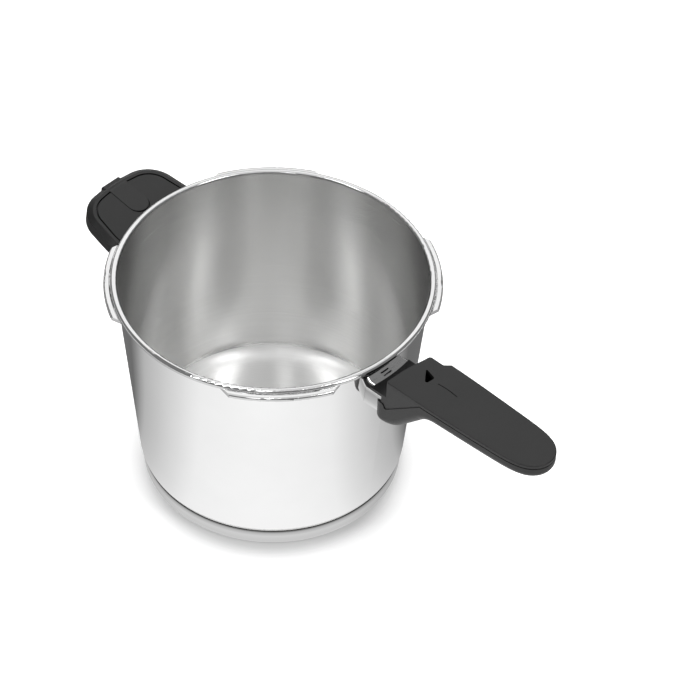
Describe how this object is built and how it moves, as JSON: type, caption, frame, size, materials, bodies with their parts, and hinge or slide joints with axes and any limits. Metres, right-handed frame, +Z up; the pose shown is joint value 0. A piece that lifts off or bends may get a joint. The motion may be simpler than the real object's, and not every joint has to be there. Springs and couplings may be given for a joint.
{
  "type": "stovetop pressure cooker",
  "caption": "Pot half of a stovetop pressure cooker: polished steel pot with bayonet rim, sandwich base, long black handle with flame guard, and a helper handle.",
  "frame": {"origin": "centre of the sole's flat face, on the hob", "axes": "+Z up along the pot's axis, +X out along the long handle, helper handle along -X"},
  "size_m": [0.4238, 0.23, 0.1767],
  "materials": {
    "pot_steel": "mirror-polished outside, circular brushed inside, bright rim",
    "base_aluminium": "cast core, sealed in",
    "base_steel": "polished edge, circular brushed sole",
    "guard_steel": "polished",
    "bracket_steel": "bright, unpolished",
    "fastener_steel": "bright",
    "insert_brass": "knurled outside",
    "handle_phenolic": "black phenolic, satin",
    "deck_phenolic": "black phenolic, satin",
    "helper_phenolic": "black phenolic, satin",
    "panel_phenolic": "black phenolic, satin",
    "badge_phenolic": "black phenolic, satin, blank"
  },
  "bodies": {
    "root": {"pot_shell": "pot_steel", "base_core": "base_aluminium", "base_cap": "base_steel", "flame_guard": "guard_steel", "handle_bracket": "bracket_steel", "handle_stud": "bracket_steel", "handle_body": "handle_phenolic", "handle_deck": "deck_phenolic", "handle_screw": "fastener_steel", "handle_washer": "fastener_steel", "handle_spring_washer": "fastener_steel", "deck_inserts": "insert_brass", "deck_screws": "fastener_steel", "helper_body": "helper_phenolic", "helper_panel": "panel_phenolic", "helper_badge": "badge_phenolic", "helper_bracket": "bracket_steel", "helper_screws": "fastener_steel", "helper_washers": "fastener_steel", "helper_nuts": "fastener_steel"}
  },
  "joints": []
}
